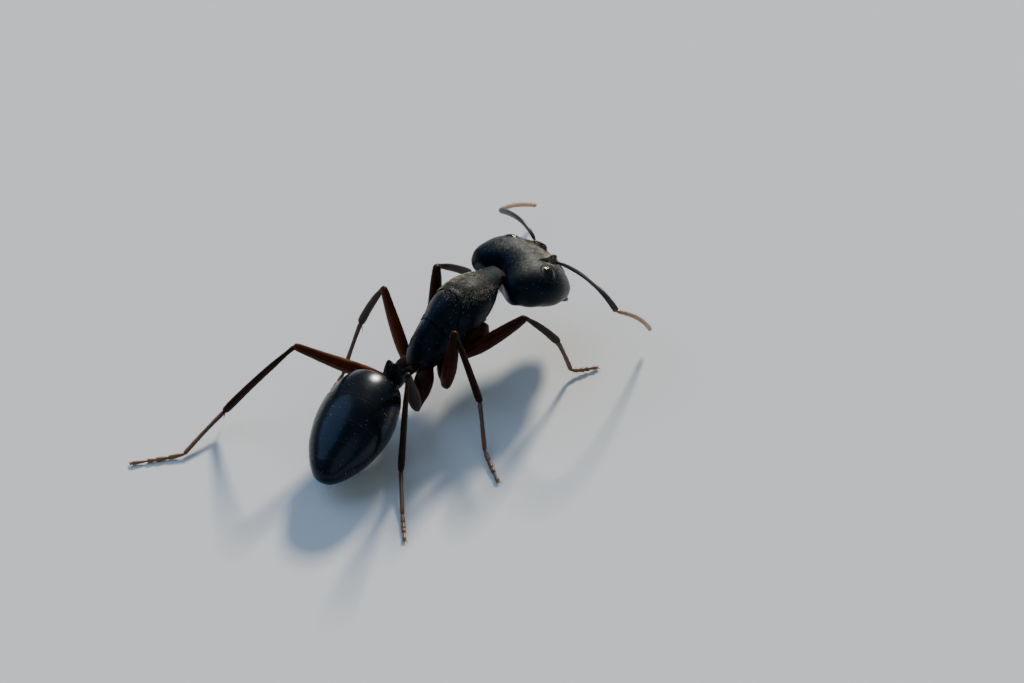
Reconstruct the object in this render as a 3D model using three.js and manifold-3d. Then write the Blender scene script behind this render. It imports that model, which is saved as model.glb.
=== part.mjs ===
// A large worker of the black carpenter ant, standing with its left hind leg stretched back, its head
// turned a little to its right and both feelers held out. Millimetres, +Z up, floor at z = 0. The ant
// faces -Y, and its left side is +X.
import * as THREE from 'three';
import { mergeVertices } from 'three/addons/utils/BufferGeometryUtils.js';
import Module from 'manifold-3d';

const wasm = await Module();
wasm.setup();

// ---------------------------------------------------------------------------------------------
// Driving dimensions
// ---------------------------------------------------------------------------------------------
const CENTRE = [-0.05, -1.045, 0]; // the ant's floor point, from the middle of the whole box
const GAP = 0.05; // between neighbouring pieces
const THICK = 0.25; // least radius of a leg or feeler

const TRUNK = { length: 4.73, front: -2.58, place: [0.17, -0.17, 2.65], pitch: -19, waist: 0.38 };
const HEAD = { length: 3.3, sockets: 2.15, notch: 0.6, place: [-0.08, -4.5, 3.56], pitch: 26, turn: -12 };
const EYE = { side: 1.22, back: 0.575, level: -0.18, radius: [0.3, 0.28, 0.2] };
const JAW = { side: 0.8, base: -0.8, tip: -1.5, inner: 0.26, level: -1.36, drop: 0.28, radius: 0.27 };
const PETIOLE = { place: [0.14, 2.6, 1.83], length: 1.6, turn: 4, pitch: -2 };
const GASTER = { length: 4.7, place: [0.24, 3.36, 2.05], turn: 19.6, pitch: -12 };
const HIPS = { // in the trunk's own frame: out to the side, back, and level
  fore: [0.62, -0.85, -0.3],
  mid: [0.45, 0.85, -0.5],
  hind: [0.3, 1.72, -0.3],
};

// Widths and levels along each body part: [how far along, half width, top, underside].
const TRUNK_ROWS = [
  [0.0, 0.42, 0.4, -0.2],
  [0.08, 0.54, 0.64, -0.3],
  [0.18, 0.7, 0.96, -0.42],
  [0.3, 0.91, 1.24, -0.55],
  [0.43, 0.95, 1.39, -0.62],
  [0.56, 0.87, 1.42, -0.74],
  [0.69, 0.74, 1.27, -0.8],
  [0.8, 0.64, 1.04, -0.75],
  [0.9, 0.54, 0.74, -0.62],
  [0.96, 0.44, 0.42, -0.5],
  [1.0, 0.3, 0.06, -0.36],
];
const HEAD_ROWS = [
  [0.0, 1.02, -0.55, -1.2],
  [0.05, 1.27, -0.42, -1.36],
  [0.12, 1.45, -0.27, -1.52],
  [0.22, 1.57, -0.1, -1.58],
  [0.35, 1.71, 0.06, -1.66],
  [0.5, 1.77, 0.12, -1.69],
  [0.65, 1.69, 0.04, -1.66],
  [0.8, 1.43, -0.18, -1.56],
  [0.92, 1.15, -0.5, -1.43],
  [1.0, 0.95, -0.75, -1.3],
];
const PETIOLE_ROWS = [
  [0.0, 0.2, 0.1, -0.28],
  [0.2, 0.24, 0.14, -0.32],
  [0.44, 0.36, 0.55, -0.38],
  [0.65, 0.42, 0.92, -0.4],
  [0.84, 0.36, 0.5, -0.36],
  [1.0, 0.2, 0.08, -0.26],
];
const GASTER_ROWS = [
  [0.0, 0.72, 0.66, -0.56],
  [0.06, 1.02, 0.98, -0.84],
  [0.2, 1.24, 1.2, -1.08],
  [0.4, 1.38, 1.28, -1.22],
  [0.58, 1.29, 1.19, -1.13],
  [0.74, 1.08, 0.96, -0.93],
  [0.87, 0.77, 0.66, -0.68],
  [0.95, 0.52, 0.41, -0.47],
  [1.0, 0.3, 0.2, -0.28],
];
const GASTER_SEAMS = [0.34, 0.56, 0.73, 0.87]; // the rear edge of each of the first four segments

// Joint places of each leg outwards from the hip, from the ant's floor point: femur base, knee and
// ankle, then ball of the foot and claw on the floor. The feelers' places are from the same point.
const LEGS = {
  left_fore: [[1.2, -0.2, 1.5], [1.63, -0.86, 4.15], [2.1, -3.0, 2.2], [2.4, -3.85], [2.64, -4.9]],
  right_fore: [[-0.46, -0.06, 1.62], [-2.54, -1.16, 4.0], [-2.57, -2.72, 1.95], [-2.59, -3.35],
    [-2.99, -4.27]],
  left_mid: [[0.95, 1.16, 0.95], [2.05, 1.37, 4.2], [3.46, 1.15, 1.55], [3.03, 2.46], [2.63, 3.61]],
  right_mid: [[-0.76, 1.1, 1.09], [-1.47, 1.31, 4.15], [-2.29, 0.89, 1.15], [-3.48, 1.84], [-4.86, 2.57]],
  left_hind: [[0.98, 2.14, 0.95], [2.32, 5.49, 3.75], [4.18, 7.19, 0.6], [3.91, 9.39], [4.9, 10.99]],
  right_hind: [[-0.7, 2.41, 0.85], [-2.31, 4.44, 4.55], [-2.41, 4.92, 0.45], [-3.81, 6.22], [-4.77, 7.06]],
};
const FEELERS = {
  left: { scape: [[0.5, -4.7, 3.56], [1.5, -4.99, 3.8], [3.18, -5.59, 3.0]],
    funiculus: [[3.18, -5.59, 3.0], [3.95, -7.1, 1.92], [4.63, -8.88, 0.5]] },
  right: { scape: [[-0.74, -4.44, 3.56], [-2.76, -4.12, 4.05], [-4.08, -4.14, 3.4]],
    funiculus: [[-4.08, -4.14, 3.4], [-3.95, -5.35, 2.3], [-3.26, -6.71, 0.55]] },
};

// Finish of each kind of surface: the cuticle of an ant is one material in several browns and blacks.
const FINISH = {
  body: { color: 0x14161a, roughness: 0.42 },
  gaster: { color: 0x0b0d12, roughness: 0.2 },
  eye: { color: 0x08080a, roughness: 0.12 },
  leg: { color: 0x3a120a, roughness: 0.35 },
  tip: { color: 0x5a2a14, roughness: 0.45 },
};

// ---------------------------------------------------------------------------------------------
// Shaping
// ---------------------------------------------------------------------------------------------
const point = (place) => new THREE.Vector3(...place);

// The values of a table of rows at t, on a smooth curve through them.
function alongRows(rows, t) {
  const last = rows.length - 2;
  let i = rows.findIndex((row, k) => k > 0 && t <= row[0]) - 1;
  i = i < 0 ? last : i;
  const [a, b] = [rows[i], rows[i + 1]];
  const before = rows[Math.max(i - 1, 0)];
  const after = rows[Math.min(i + 2, last + 1)];
  const span = b[0] - a[0];
  const u = (t - a[0]) / span;
  return a.slice(1).map((value, k) => {
    const start = ((b[k + 1] - before[k + 1]) / (b[0] - before[0])) * span;
    const end = ((after[k + 1] - value) / (after[0] - a[0])) * span;
    const rise = b[k + 1] - value;
    return value + u * (start + u * (3 * rise - 2 * start - end + u * (start + end - 2 * rise)));
  });
}

// From 0 at the tips to 1: rounds off the first and the last stretch of a shape.
function rounded(t, front, rear) {
  const edge = Math.min(t / front, (1 - t) / rear, 1);
  return Math.sqrt(Math.max(0, 1 - (1 - edge) ** 2));
}

const bulge = (value, power) => Math.sign(value) * Math.abs(value) ** (2 / power);

// A closed solid from a function of t (0 to 1, pole to pole) and the angle round the axis.
function surface(shape, rings, around, matrix) {
  const positions = [...shape(0, 0).toArray()];
  for (let r = 1; r < rings; r += 1) {
    const t = (1 - Math.cos((Math.PI * r) / rings)) / 2;
    for (let k = 0; k < around; k += 1) {
      positions.push(...shape(t, (2 * Math.PI * k) / around).toArray());
    }
  }
  positions.push(...shape(1, 0).toArray());
  const end = positions.length / 3 - 1;
  const at = (r, k) => 1 + (r - 1) * around + (k % around);
  const faces = [];
  for (let k = 0; k < around; k += 1) {
    faces.push(0, at(1, k + 1), at(1, k));
    faces.push(end, at(rings - 1, k), at(rings - 1, k + 1));
    for (let r = 1; r < rings - 1; r += 1) {
      faces.push(at(r, k), at(r, k + 1), at(r + 1, k));
      faces.push(at(r + 1, k), at(r, k + 1), at(r + 1, k + 1));
    }
  }
  const geometry = new THREE.BufferGeometry();
  geometry.setAttribute('position', new THREE.Float32BufferAttribute(positions, 3));
  geometry.setIndex(faces);
  if (matrix) geometry.applyMatrix4(matrix);
  return toSolid(geometry);
}

function toSolid(geometry) {
  const merged = mergeVertices(geometry, 1e-4);
  const vertProperties = new Float32Array(merged.attributes.position.array);
  const build = (flip) => {
    const triVerts = new Uint32Array(merged.index.array);
    if (flip) {
      for (let i = 0; i < triVerts.length; i += 3) {
        [triVerts[i + 1], triVerts[i + 2]] = [triVerts[i + 2], triVerts[i + 1]];
      }
    }
    return new wasm.Manifold(new wasm.Mesh({ numProp: 3, vertProperties, triVerts }));
  };
  const solid = build(false);
  return solid.volume() > 0 ? solid : build(true);
}

function toGeometry(solid) {
  const mesh = solid.getMesh();
  const geometry = new THREE.BufferGeometry();
  geometry.setAttribute('position', new THREE.BufferAttribute(mesh.vertProperties, 3));
  geometry.setIndex(new THREE.BufferAttribute(mesh.triVerts, 1));
  return geometry;
}

// What is left of a solid clear of its neighbours: the largest piece of it.
function clearOf(solid, neighbours) {
  const cut = neighbours.reduce((rest, other) => rest.subtract(other), solid);
  const pieces = cut.decompose();
  return pieces.reduce((best, piece) => (piece.volume() > best.volume() ? piece : best));
}

// A body part's frame: turned about the vertical, then pitched, then set in its place.
function placed(place, turn, pitch) {
  const degrees = THREE.MathUtils.degToRad;
  const spin = new THREE.Euler(degrees(pitch), 0, degrees(turn), 'ZXY');
  return new THREE.Matrix4().makeRotationFromEuler(spin).setPosition(point(place));
}

// A part of the body, along its own Y from its front. Its section is an oval with a flat-sided power,
// and squarer below near its start.
function bodyShape(rows, length, { front, rear, power, square = 0, warp, start = 0, grow = 0 }) {
  return (t, angle) => {
    const [half, top, under] = alongRows(rows, t);
    const round = rounded(t, front, rear);
    const corner = power + (Math.sin(angle) < 0 ? square * Math.max(0, 1 - t / 0.45) : 0);
    const middle = (top + under) / 2;
    const tall = ((top - under) / 2) * round + grow;
    const x = (half * round + grow) * bulge(Math.cos(angle), corner);
    const z = middle + tall * bulge(Math.sin(angle), corner);
    const y = start + length * t + grow * (2 * t - 1) * 2;
    const at = new THREE.Vector3(x, y, z);
    return warp ? warp(at, t, Math.sin(angle)) : at;
  };
}

// A limb along a curve, with a radius that follows its rows and rounded ends. Nothing of it goes
// below the floor, which leaves a flat where a foot lies on it.
function limb(places, rows, { grow = 0, rings = 7, around = 8, ends = 0.12 }) {
  const curve = places.length === 3
    ? new THREE.QuadraticBezierCurve3(...bezier(places))
    : new THREE.CatmullRomCurve3(places.map(point), false, 'centripetal');
  const up = new THREE.Vector3(0, 0, 1);
  const shape = (t, angle) => {
    const centre = curve.getPoint(t);
    const ahead = curve.getTangent(t);
    const side = new THREE.Vector3().crossVectors(ahead, up).normalize();
    const over = new THREE.Vector3().crossVectors(side, ahead).normalize();
    const radius = (alongRows(rows, t)[0] + grow) * rounded(t, ends, ends);
    centre.addScaledVector(ahead, (t < 0.5 ? -1 : 1) * (2 * Math.abs(t - 0.5)) ** 8 * grow);
    centre.addScaledVector(side, radius * Math.cos(angle));
    centre.addScaledVector(over, radius * Math.sin(angle));
    centre.z = Math.max(centre.z, -grow);
    return centre;
  };
  return surface(shape, rings, around);
}

// The control points of a curve through three places.
function bezier([a, b, c]) {
  const middle = point(b).multiplyScalar(2).addScaledVector(point(a), -0.5).addScaledVector(point(c), -0.5);
  return [point(a), middle, point(c)];
}

const part = new THREE.Group();
const body = new THREE.Group();
body.position.set(...CENTRE);
part.add(body);

function show(name, solid, finish) {
  const material = new THREE.MeshStandardMaterial({ ...FINISH[finish], metalness: 0 });
  const mesh = new THREE.Mesh(toGeometry(solid), material);
  mesh.name = name;
  body.add(mesh);
}

// ---------------------------------------------------------------------------------------------
// Head, jaws and eyes
// ---------------------------------------------------------------------------------------------
const headFrame = placed(HEAD.place, HEAD.turn, HEAD.pitch);

// The back of the head is drawn in between its two rounded lobes.
function notched(at, t) {
  const reach = Math.max(0, 1 - t / 0.5) ** 2;
  const width = 0.62 + 0.35 * THREE.MathUtils.smoothstep(-at.z, 0.9, 1.4);
  at.y = -at.y;
  at.y -= HEAD.notch * reach * Math.exp(-((at.x / width) ** 2));
  return at;
}

const HEAD_FORM = { front: 0.07, rear: 0.14, power: 2.35, square: 1.8 };

function headSolid(grow) {
  const form = { ...HEAD_FORM, warp: notched, start: -HEAD.sockets, grow };
  return surface(bodyShape(HEAD_ROWS, HEAD.length, form), 14, 20, headFrame);
}

const head = headSolid(0);
const headRoom = headSolid(GAP);
show('head', head, 'body');

for (const [side, sign] of [['left', 1], ['right', -1]]) {
  const [wide, deep, tall] = EYE.radius;
  const ball = new THREE.SphereGeometry(1, 14, 10);
  ['normal', 'uv'].forEach((name) => ball.deleteAttribute(name));
  ball.scale(wide, deep, tall);
  ball.translate(sign * EYE.side, EYE.back, EYE.level);
  ball.applyMatrix4(headFrame);
  show(`eye_${side}`, clearOf(toSolid(ball), [headRoom]), 'eye');

  const jaw = [
    [sign * JAW.side, JAW.base, JAW.level],
    [sign * (JAW.side - 0.08), (JAW.base + JAW.tip) / 2, JAW.level - JAW.drop / 2],
    [sign * JAW.inner, JAW.tip, JAW.level - JAW.drop],
  ].map((place) => point(place).applyMatrix4(headFrame).toArray());
  const jawRows = [[0, JAW.radius], [0.6, JAW.radius], [1, THICK]];
  show(`mandible_${side}`, clearOf(limb(jaw, jawRows, {}), [headRoom]), 'body');
}

// ---------------------------------------------------------------------------------------------
// Trunk: pronotum, mesothorax and propodeum, parted by thin cuts
// ---------------------------------------------------------------------------------------------
const trunkFrame = placed(TRUNK.place, 0, TRUNK.pitch);

// Towards the rear the back of the trunk narrows to a ridge.
function ridged(at, t, up) {
  const rearward = THREE.MathUtils.smoothstep(t, 0.35, 0.8);
  at.x *= 1 - TRUNK.waist * rearward * Math.max(0, up) ** 2;
  return at;
}

function trunkSolid(grow) {
  const form = { front: 0.03, rear: 0.03, power: 2.15, warp: ridged, start: TRUNK.front, grow };
  return surface(bodyShape(TRUNK_ROWS, TRUNK.length, form), 18, 18, trunkFrame);
}

// A slice of a solid between two planes that cross the body part's own Y at a slant.
function slice(solid, frame, from, to) {
  const keep = (rest, cut, side) => {
    if (!cut) return rest;
    const normal = new THREE.Vector3(0, 1, cut.slant).normalize();
    const through = new THREE.Vector3(0, cut.at + (side * GAP) / 2, 0).applyMatrix4(frame);
    normal.transformDirection(frame).multiplyScalar(side);
    return rest.trimByPlane(normal.toArray(), normal.dot(through));
  };
  return keep(keep(solid, from, 1), to, -1);
}

const trunk = clearOf(trunkSolid(0), [headRoom]);
const trunkRoom = trunkSolid(GAP);
const trunkCuts = [null, { at: 0.1, slant: 0.5 }, { at: 0.68, slant: -0.1 }, null];
['pronotum', 'mesothorax', 'propodeum'].forEach((name, i) => {
  show(name, slice(trunk, trunkFrame, trunkCuts[i], trunkCuts[i + 1]), 'body');
});

// ---------------------------------------------------------------------------------------------
// Waist and gaster
// ---------------------------------------------------------------------------------------------
function petioleSolid(grow) {
  const frame = placed(PETIOLE.place, PETIOLE.turn, PETIOLE.pitch);
  const form = { front: 0.2, rear: 0.2, power: 2.1, start: -PETIOLE.length / 2, grow };
  return surface(bodyShape(PETIOLE_ROWS, PETIOLE.length, form), 10, 14, frame);
}

show('petiole', clearOf(petioleSolid(0), [trunkRoom]), 'body');
const petioleRoom = petioleSolid(GAP);

const gasterFrame = placed(GASTER.place, GASTER.turn, GASTER.pitch);

function gasterSolid(grow) {
  const form = { front: 0.05, rear: 0.1, power: 2.05, grow };
  return surface(bodyShape(GASTER_ROWS, GASTER.length, form), 18, 20, gasterFrame);
}

const gaster = clearOf(gasterSolid(0), [petioleRoom]);
const gasterCuts = [null, ...GASTER_SEAMS.map((t) => ({ at: t * GASTER.length, slant: -0.08 })), null];
for (let i = 0; i < gasterCuts.length - 1; i += 1) {
  show(`gaster_${i + 1}`, slice(gaster, gasterFrame, gasterCuts[i], gasterCuts[i + 1]), 'gaster');
}
const gasterRoom = gasterSolid(GAP);

// ---------------------------------------------------------------------------------------------
// Legs: each piece is cut clear of the one before it
// ---------------------------------------------------------------------------------------------
const COXA_ROWS = [[0, 0.3], [0.3, 0.37], [0.7, 0.33], [1, 0.26]];
const FEMUR_ROWS = [[0, 0.25], [0.35, 0.28], [0.75, 0.25], [1, 0.25]];
const EVEN_ROWS = [[0, THICK], [1, THICK]];
const COXA_SHARE = 0.86; // of the way from the hip to the femur's base
const SHIN_BEND = 0.12; // the shin starts this far out of the thigh's line
const SOLE = 0.16; // level of a foot's middle line: less than its radius, so that it stands on a flat

const halfway = (a, b, t) => point(a).lerp(point(b), t).toArray();

for (const [side, places] of Object.entries(LEGS)) {
  const [femurBase, knee, ankle, ball, claw] = places;
  const [out, back, level] = HIPS[side.split('_')[1]];
  const hip = point([side.startsWith('left') ? out : -out, back, level]).applyMatrix4(trunkFrame).toArray();
  const coxaTip = halfway(hip, femurBase, COXA_SHARE);
  const kneeOut = point(knee).sub(point(femurBase)).setLength(SHIN_BEND).add(point(knee)).toArray();
  const flat = [ball, claw].map(([x, y]) => [x, y, SOLE]);
  const foot = [ankle, halfway(ankle, flat[0], 0.5), ...flat];
  const pieces = [
    ['coxa', [hip, coxaTip], COXA_ROWS, 'leg'],
    ['trochanter', [halfway(coxaTip, hip, 0.1), halfway(femurBase, knee, 0.06)], EVEN_ROWS, 'leg'],
    ['femur', [femurBase, knee], FEMUR_ROWS, 'leg'],
    ['tibia', [kneeOut, ankle], EVEN_ROWS, 'leg'],
    ['tarsus', foot, EVEN_ROWS, 'tip'],
  ];
  const room = [trunkRoom, petioleRoom, gasterRoom];
  for (const [kind, line, rows, finish] of pieces) {
    const rings = kind === 'tarsus' ? 10 : 7;
    const ends = kind === 'trochanter' ? 0.45 : 0.1;
    const solid = limb(line, rows, { rings, ends });
    show(`${kind}_${side}`, clearOf(solid, room), finish);
    room.push(limb(line, rows, { rings, ends, grow: GAP }));
  }
}

// ---------------------------------------------------------------------------------------------
// Feelers
// ---------------------------------------------------------------------------------------------
for (const [side, { scape, funiculus }] of Object.entries(FEELERS)) {
  const room = [headRoom];
  for (const [kind, line, finish] of [['scape', scape, 'body'], ['funiculus', funiculus, 'tip']]) {
    const options = { rings: 9, ends: 0.08 };
    show(`${kind}_${side}`, clearOf(limb(line, EVEN_ROWS, options), room), finish);
    room.push(limb(line, EVEN_ROWS, { ...options, grow: GAP }));
  }
}

export default part;
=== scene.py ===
import math

import bpy
import numpy as np
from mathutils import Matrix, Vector


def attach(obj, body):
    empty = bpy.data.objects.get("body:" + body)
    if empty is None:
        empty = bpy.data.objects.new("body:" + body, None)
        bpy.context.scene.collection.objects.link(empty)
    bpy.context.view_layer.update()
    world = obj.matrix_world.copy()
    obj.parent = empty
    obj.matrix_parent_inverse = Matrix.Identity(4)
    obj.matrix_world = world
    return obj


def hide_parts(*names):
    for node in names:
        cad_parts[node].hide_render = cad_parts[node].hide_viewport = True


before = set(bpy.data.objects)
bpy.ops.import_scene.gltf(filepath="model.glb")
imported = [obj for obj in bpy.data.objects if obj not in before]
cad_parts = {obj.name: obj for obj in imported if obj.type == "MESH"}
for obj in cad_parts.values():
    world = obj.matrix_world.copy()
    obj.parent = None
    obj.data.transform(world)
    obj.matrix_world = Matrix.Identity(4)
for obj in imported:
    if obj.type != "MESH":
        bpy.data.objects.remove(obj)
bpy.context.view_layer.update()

MM = 0.001
CENTRE = np.array([-0.05, -1.045, 0.0])  # the ant's floor point, from the middle of the whole box

TRUNK = {"place": (0.17, -0.17, 2.65), "turn": 0, "pitch": -19, "length": 4.73, "front": -2.58}
HEAD = {"place": (-0.08, -4.5, 3.56), "turn": -12, "pitch": 26, "length": 3.3, "front": -1.15}
PETIOLE = {"place": (0.14, 2.6, 1.83), "turn": 4, "pitch": -2, "length": 1.6}
GASTER = {"place": (0.24, 3.36, 2.05), "turn": 19.6, "pitch": -12, "length": 4.7}
EYE = {"place": (1.22, 0.575, -0.17), "radius": (0.33, 0.275, 0.14), "facet": 0.026, "tilt": 29}
HIPS = {"fore": (0.62, -0.85, -0.3), "mid": (0.45, 0.85, -0.5), "hind": (0.3, 1.72, -0.3)}
NOTCH = 0.6  # how deep the back of the head is hollowed
WAIST = 0.38  # how much narrower the back of the trunk is at its rear, as a share

# Widths and levels along each part of the body: how far along, half width, top, underside.
TRUNK_ROWS = [
    (0.0, 0.42, 0.40, -0.20), (0.08, 0.54, 0.64, -0.30), (0.18, 0.70, 0.96, -0.42),
    (0.30, 0.91, 1.24, -0.55), (0.43, 0.95, 1.39, -0.62), (0.56, 0.87, 1.42, -0.74),
    (0.69, 0.74, 1.27, -0.80), (0.80, 0.64, 1.04, -0.75), (0.90, 0.54, 0.74, -0.62),
    (0.96, 0.44, 0.42, -0.50), (1.0, 0.30, 0.06, -0.36),
]
HEAD_ROWS = [
    (0.0, 1.00, -0.55, -1.24), (0.05, 1.25, -0.42, -1.42), (0.12, 1.45, -0.27, -1.57),
    (0.22, 1.57, -0.10, -1.58), (0.35, 1.71, 0.06, -1.66), (0.5, 1.77, 0.12, -1.69),
    (0.65, 1.69, 0.04, -1.66), (0.8, 1.43, -0.18, -1.56), (0.92, 1.15, -0.50, -1.43),
    (1.0, 0.95, -0.75, -1.30),
]
PETIOLE_ROWS = [
    (0.0, 0.15, 0.02, -0.25), (0.15, 0.18, 0.06, -0.28), (0.3, 0.21, 0.12, -0.33),
    (0.45, 0.29, 0.54, -0.40), (0.56, 0.36, 0.86, -0.41), (0.64, 0.37, 0.93, -0.40),
    (0.74, 0.33, 0.60, -0.38), (0.85, 0.24, 0.10, -0.33), (1.0, 0.18, 0.0, -0.26),
]
GASTER_ROWS = [
    (0.0, 0.20, 0.02, -0.30), (0.015, 0.50, 0.38, -0.44), (0.04, 0.86, 0.80, -0.70),
    (0.08, 1.04, 1.00, -0.87), (0.2, 1.24, 1.20, -1.08), (0.4, 1.38, 1.28, -1.22),
    (0.58, 1.29, 1.19, -1.13), (0.74, 1.08, 0.96, -0.93), (0.87, 0.77, 0.66, -0.68),
    (0.95, 0.50, 0.40, -0.46), (0.98, 0.33, 0.25, -0.32), (0.995, 0.17, 0.12, -0.18),
    (1.0, 0.06, 0.03, -0.09),
]
GASTER_SEAMS = [0.34, 0.56, 0.73, 0.87]  # the rear edge of each of the first four segments
# The rear edge of the pronotum, from its lower side margin up over the back: level, and how far back.
SHIELD_EDGE = [
    (-0.6, -1.0), (-0.2, -0.75), (0.05, -0.45), (0.42, 0.03), (0.62, 0.26), (0.78, 0.24),
    (0.92, 0.08), (1.05, -0.15), (1.22, -0.38), (1.38, -0.5), (1.6, -0.52),
]
GROOVE = [(-1.0, 0.6), (1.5, 0.83)]  # between mesothorax and propodeum

# Places of the femur's base, knee, ankle, ball of the foot and claws.
LEGS = {
    "left_fore": [(1.2, -0.2, 1.5), (1.63, -0.86, 4.15), (2.1, -3.0, 2.2),
                  (2.4, -3.85, 0.3), (2.64, -4.9, 0.07)],
    "right_fore": [(-0.46, -0.06, 1.62), (-2.54, -1.16, 4.0), (-2.57, -2.72, 1.95),
                   (-2.59, -3.35, 0.3), (-2.99, -4.27, 0.07)],
    "left_mid": [(0.95, 1.16, 0.95), (2.05, 1.37, 4.2), (3.46, 1.15, 1.55),
                 (3.03, 2.46, 0.2), (2.63, 3.61, 0.07)],
    "right_mid": [(-0.76, 1.1, 1.09), (-1.47, 1.31, 4.15), (-2.29, 0.89, 1.15),
                  (-3.48, 1.84, 0.2), (-4.86, 2.57, 0.07)],
    "left_hind": [(0.98, 2.14, 0.95), (2.32, 5.49, 3.75), (4.18, 7.19, 0.6),
                  (3.91, 9.39, 0.14), (4.9, 10.99, 0.07)],
    "right_hind": [(-0.7, 2.41, 0.85), (-2.31, 4.44, 4.55), (-2.41, 4.92, 0.45),
                   (-3.81, 6.22, 0.14), (-4.77, 7.06, 0.07)],
}
FEELERS = {
    "left": {"scape": [(0.5, -4.7, 3.56), (1.5, -4.99, 3.8), (3.18, -5.59, 3.0)],
             "funiculus": [(3.18, -5.59, 3.0), (3.95, -7.1, 1.92), (4.63, -8.88, 0.5)]},
    "right": {"scape": [(-0.74, -4.44, 3.56), (-2.76, -4.12, 4.05), (-4.08, -4.14, 3.4)],
              "funiculus": [(-4.08, -4.14, 3.4), (-3.95, -5.35, 2.3), (-3.26, -6.71, 0.55)]},
}


# ---- Materials ----
def linear(hex_colour):
    """An sRGB hex colour as linear values."""
    parts = [int(hex_colour[i:i + 2], 16) / 255 for i in (1, 3, 5)]
    return tuple(c / 12.92 if c <= 0.04045 else ((c + 0.055) / 1.055) ** 2.4 for c in parts) + (1.0,)


def add_node(tree, kind, settings=None, inputs=None):
    """One node with its settings. Each of its inputs is a value, the socket that is linked to it, or the
    node whose first output is."""
    made = tree.nodes.new(kind)
    for name, value in (settings or {}).items():
        setattr(made, name, value)
    for name, value in (inputs or {}).items():
        if isinstance(value, bpy.types.Node):
            value = value.outputs[0]
        if isinstance(value, bpy.types.NodeSocket):
            tree.links.new(value, made.inputs[name])
        else:
            made.inputs[name].default_value = value
    return made


def new_material(name):
    """An empty material and its tree."""
    material = bpy.data.materials.new(name)
    material.use_nodes = True
    material.node_tree.nodes.clear()
    return material, material.node_tree


def cuticle(name, dark, warm, roughness, net_mm, net_depth, shader, patchy=0.08):
    """Insect cuticle: layered chitin, tanned dark. It is darkest and hardest where the paint-like
    attribute `tone` is 0, and thinner and browner where it is 1; `matt` dulls it where it is pitted with
    the roots of close hairs. Cells of the skin that made it leave a fine net of ridges over it."""
    material, tree = new_material(name)
    where = add_node(tree, "ShaderNodeTexCoord").outputs["Object"]
    tone, matt = (add_node(tree, "ShaderNodeAttribute", {"attribute_name": key}).outputs["Fac"]
                  for key in ("tone", "matt"))
    # Clouds about half a millimetre wide make the tan and the gloss uneven.
    cloud = add_node(tree, "ShaderNodeTexNoise", inputs={
        "Vector": where, "Scale": 2.2 / MM, "Detail": 4.0, "Roughness": 0.6}).outputs["Fac"]
    blotch = add_node(tree, "ShaderNodeMath", {"operation": "MULTIPLY_ADD"}, {0: cloud, 1: 0.5, 2: -0.25})
    uneven = add_node(tree, "ShaderNodeMath", {"operation": "ADD", "use_clamp": True}, {0: tone, 1: blotch})
    colour = add_node(tree, "ShaderNodeValToRGB", inputs={"Fac": uneven})
    for stop, tan in zip(colour.color_ramp.elements, (dark, warm)):
        stop.color = linear(tan)
    # The net's ridges, and a finer grit of about 0.1 mm, as bump.
    cells = add_node(tree, "ShaderNodeTexVoronoi", {"feature": "DISTANCE_TO_EDGE"},
                     {"Vector": where, "Scale": 1 / (net_mm * MM)})
    edge = add_node(tree, "ShaderNodeMapRange", {"interpolation_type": "SMOOTHSTEP"},
                    {"Value": cells.outputs["Distance"], "From Min": 0.0, "From Max": 0.22,
                     "To Min": 1.0, "To Max": 0.0})
    grit = add_node(tree, "ShaderNodeTexNoise", inputs={
        "Vector": where, "Scale": 9.0 / MM, "Detail": 3.0})
    height = add_node(tree, "ShaderNodeMath", {"operation": "ADD"}, {0: edge, 1: grit.outputs["Fac"]})
    bump = add_node(tree, "ShaderNodeBump", inputs={
        "Height": height, "Strength": 1.0, "Distance": net_depth * MM})
    dull = add_node(tree, "ShaderNodeMath", {"operation": "MULTIPLY_ADD"},
                    {0: cloud, 1: patchy, 2: roughness - patchy / 2})
    duller = add_node(tree, "ShaderNodeMath", {"operation": "MULTIPLY_ADD", "use_clamp": True},
                      {0: matt, 1: 0.35, 2: dull})
    surface = add_node(tree, "ShaderNodeBsdfPrincipled", inputs={
        "IOR": 1.56, **shader, "Base Color": colour, "Roughness": duller, "Normal": bump})
    add_node(tree, "ShaderNodeOutputMaterial", inputs={"Surface": surface})
    return material


# Hard tanned cuticle of the head and trunk: satin black with a cold cast. The real net has cells of
# 0.015 mm; it is drawn at 0.03 mm so that it shows as the fine sparkle such a shell has.
body_shell = cuticle("tanned_cuticle_satin", "#050b12", "#2a120c", 0.35, 0.03, 0.0011,
                     {"Specular IOR Level": 0.16, "Specular Tint": linear("#7aacc8")})
# The gaster's cuticle is smoother, so it shines blue-black; its rear edges are thin and copper-brown.
gaster_shell = cuticle("smooth_gaster_cuticle", "#03060d", "#2c160e", 0.26, 0.04, 0.00025,
                       {"Specular IOR Level": 0.32, "Specular Tint": linear("#86a8c2"),
                        "Coat Weight": 0.06, "Coat Roughness": 0.08})
# Leg cuticle is half tanned: brown-black at the joints, and a warm red-brown where it is thin. On the left
# thighs its warm end also stands in for painted backlight, and the dark right thighs carry painted shade.
leg_shell = cuticle("amber_leg_cuticle", "#080403", "#5c260e", 0.5, 0.04, 0.0005,
                    {"Specular IOR Level": 0.14, "Specular Tint": linear("#e0bda4")})
# The feeler's long first piece is as black as the head, and its fine ribs spread each light along it.
scape_shell = cuticle("ribbed_scape_cuticle", "#06090d", "#6e3a1c", 0.36, 0.04, 0.0005,
                      {"Specular IOR Level": 0.75, "Specular Tint": linear("#f0e4d8")})
# Feet are the thinnest: tan to brown, with a duller, hairy surface.
tip_shell = cuticle("tan_tip_cuticle", "#1a0d07", "#7c5028", 0.45, 0.05, 0.0012,
                    {"Specular IOR Level": 0.45})
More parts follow.
